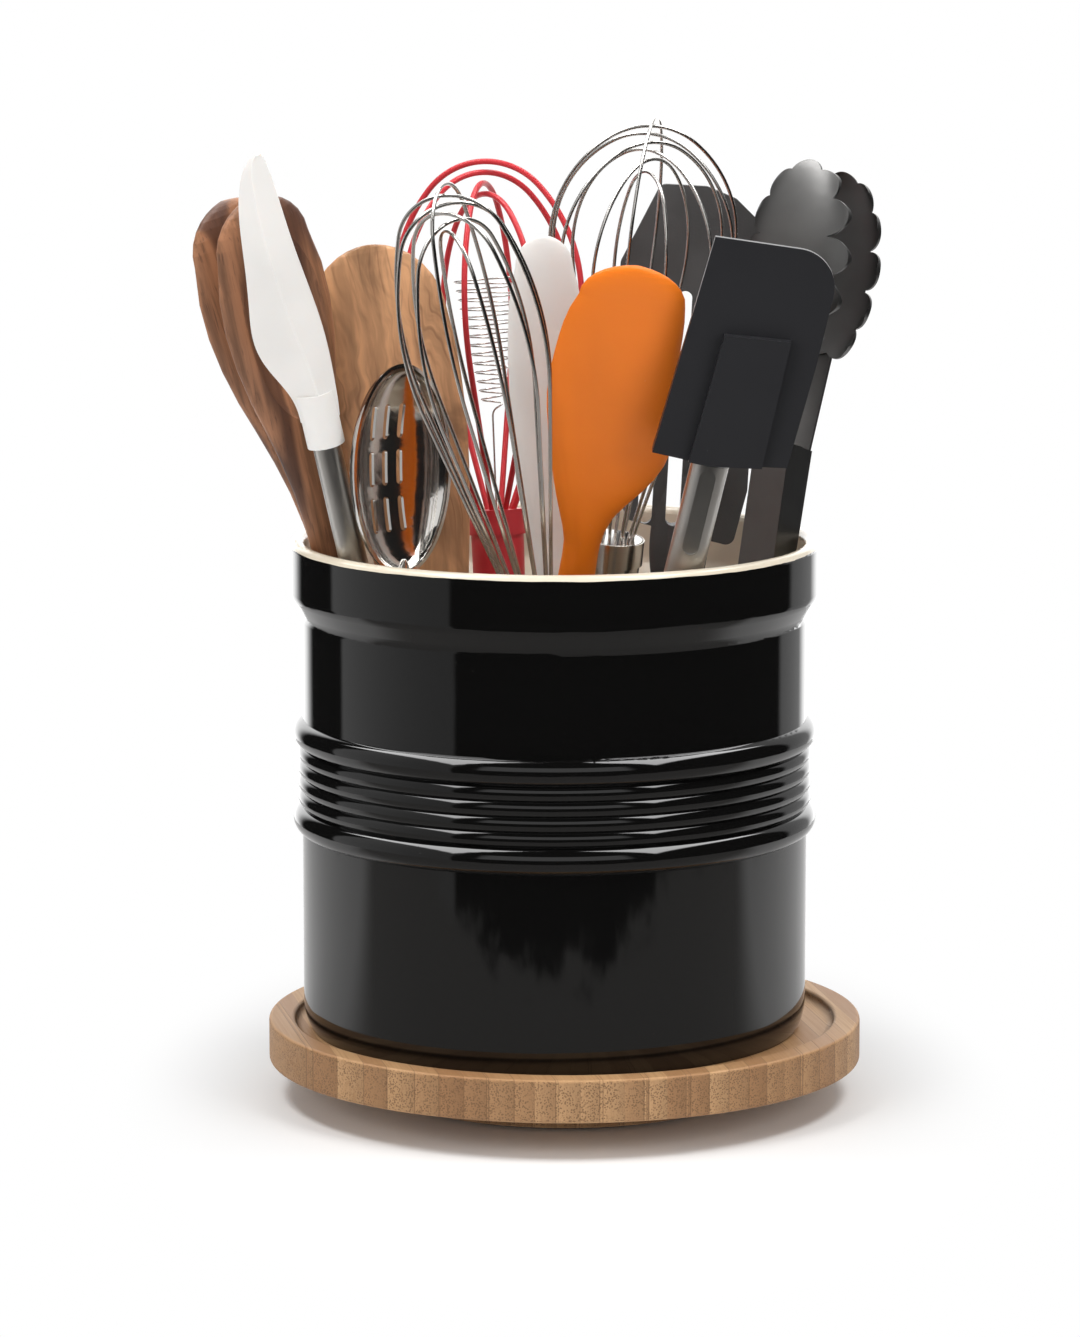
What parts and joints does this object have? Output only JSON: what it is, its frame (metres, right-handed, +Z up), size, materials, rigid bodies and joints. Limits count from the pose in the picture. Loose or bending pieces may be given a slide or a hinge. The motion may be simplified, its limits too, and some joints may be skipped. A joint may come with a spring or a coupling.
{
  "type": "utensil crock",
  "caption": "Round glazed utensil crock with a banded rim and ribs on a bamboo turntable, holding wooden, silicone and steel kitchen tools.",
  "frame": {"origin": "on the table under the centre of the turntable, at the underside of its rubber foot", "axes": "+Z up, -Y towards the front of the picture, +X to its right"},
  "size_m": [0.2168, 0.1973, 0.3139],
  "materials": {
    "foot_rubber": "matt",
    "bamboo": "satin, oiled",
    "bearing_steel": "zinc plated",
    "cage_plastic": "moulded",
    "black_glaze": "gloss glaze, cream inside",
    "teak": "oiled",
    "olive_wood": "oiled",
    "white_silicone": "matt",
    "brushed_tube": "brushed",
    "black_silicone": "satin",
    "polished_steel": "mirror polished",
    "steel_wire": "bright drawn",
    "red_silicone": "satin",
    "orange_silicone": "matt",
    "beech": "oiled",
    "black_nylon": "moulded",
    "dark_steel": "dark satin"
  },
  "bodies": {
    "base": {"rubber_foot": "foot_rubber", "base_disc": "bamboo", "lower_race": "bearing_steel", "base_screws": "bearing_steel", "bearing_balls": "bearing_steel", "ball_cage": "cage_plastic"},
    "turntable": {"tray": "bamboo", "upper_race": "bearing_steel", "tray_screws": "bearing_steel"},
    "crock_pot": {"crock": "black_glaze"},
    "back_teak_spoon_body": {"back_teak_spoon": "teak"},
    "front_teak_spoon_body": {"front_teak_spoon": "teak"},
    "scraper_body": {"scraper_head": "white_silicone", "scraper_tube": "brushed_tube", "scraper_cap": "black_silicone"},
    "olive_spatula_body": {"olive_spatula": "olive_wood"},
    "slotted_spoon_body": {"slotted_spoon": "polished_steel"},
    "french_whisk_body": {"french_whisk_wires": "steel_wire", "french_whisk_handle": "polished_steel", "french_whisk_ferrule": "polished_steel"},
    "red_whisk_body": {"red_whisk_wires": "red_silicone", "red_whisk_handle": "red_silicone", "red_whisk_ferrule": "red_silicone", "red_whisk_coil": "steel_wire"},
    "jar_spatula_body": {"jar_spatula_blade": "white_silicone", "jar_spatula_rod": "brushed_tube"},
    "spoonula_body": {"spoonula_blade": "orange_silicone", "spoonula_handle": "beech"},
    "balloon_whisk_body": {"balloon_whisk_wires": "steel_wire", "balloon_whisk_handle": "polished_steel", "balloon_whisk_ferrule": "polished_steel"},
    "turner_body": {"turner": "black_nylon"},
    "black_spatula_body": {"black_spatula_blade": "black_silicone", "black_spatula_handle": "brushed_tube"},
    "tongs_body": {"tongs_rear_arm": "dark_steel", "tongs_pin": "brushed_tube", "tongs_spring": "brushed_tube"},
    "tongs_front": {"tongs_front_arm": "dark_steel"}
  },
  "joints": [
    {"name": "tray_spin", "type": "hinge", "parent": "base", "child": "turntable", "pos_m": [0, 0, 0.012], "axis": [0, 0, 1], "continuous": true},
    {"name": "crock_lift", "type": "slide", "parent": "turntable", "child": "crock_pot", "axis": [0, 0, 1], "range_m": [0, 0.1]},
    {"name": "back_teak_spoon_lift", "type": "slide", "parent": "crock_pot", "child": "back_teak_spoon_body", "axis": [-0.2705, -0.1659, 0.9483], "range_m": [0, 0.168]},
    {"name": "front_teak_spoon_lift", "type": "slide", "parent": "crock_pot", "child": "front_teak_spoon_body", "axis": [-0.1906, -0.2011, 0.9608], "range_m": [0, 0.168]},
    {"name": "scraper_lift", "type": "slide", "parent": "crock_pot", "child": "scraper_body", "axis": [-0.2068, -0.1635, 0.9646], "range_m": [0, 0.168]},
    {"name": "olive_spatula_lift", "type": "slide", "parent": "crock_pot", "child": "olive_spatula_body", "axis": [-0.1698, 0.0476, 0.9843], "range_m": [0, 0.168]},
    {"name": "slotted_spoon_lift", "type": "slide", "parent": "crock_pot", "child": "slotted_spoon_body", "axis": [-0.0071, 0.0227, 0.9997], "range_m": [0, 0.168]},
    {"name": "french_whisk_lift", "type": "slide", "parent": "crock_pot", "child": "french_whisk_body", "axis": [-0.1978, -0.2694, 0.9425], "range_m": [0, 0.168]},
    {"name": "red_whisk_lift", "type": "slide", "parent": "crock_pot", "child": "red_whisk_body", "axis": [-0.039, 0.0965, 0.9946], "range_m": [0, 0.168]},
    {"name": "jar_spatula_lift", "type": "slide", "parent": "crock_pot", "child": "jar_spatula_body", "axis": [-0.0281, -0.1521, 0.988], "range_m": [0, 0.168]},
    {"name": "spoonula_lift", "type": "slide", "parent": "crock_pot", "child": "spoonula_body", "axis": [0.1449, -0.2722, 0.9513], "range_m": [0, 0.168]},
    {"name": "balloon_whisk_lift", "type": "slide", "parent": "crock_pot", "child": "balloon_whisk_body", "axis": [0.0945, -0.1261, 0.9875], "range_m": [0, 0.168]},
    {"name": "turner_lift", "type": "slide", "parent": "crock_pot", "child": "turner_body", "axis": [0.0549, 0.0038, 0.9985], "range_m": [0, 0.168]},
    {"name": "black_spatula_lift", "type": "slide", "parent": "crock_pot", "child": "black_spatula_body", "axis": [0.2252, -0.1204, 0.9668], "range_m": [0, 0.168]},
    {"name": "tongs_lift", "type": "slide", "parent": "crock_pot", "child": "tongs_body", "axis": [0.1484, 0.2238, 0.9633], "range_m": [0, 0.168]},
    {"name": "tongs_open", "type": "hinge", "parent": "tongs_body", "child": "tongs_front", "pos_m": [0.044, -0.03167, 0.0386], "axis": [0.8101, -0.5862, 0.0114], "range_deg": [0, 3]}
  ]
}
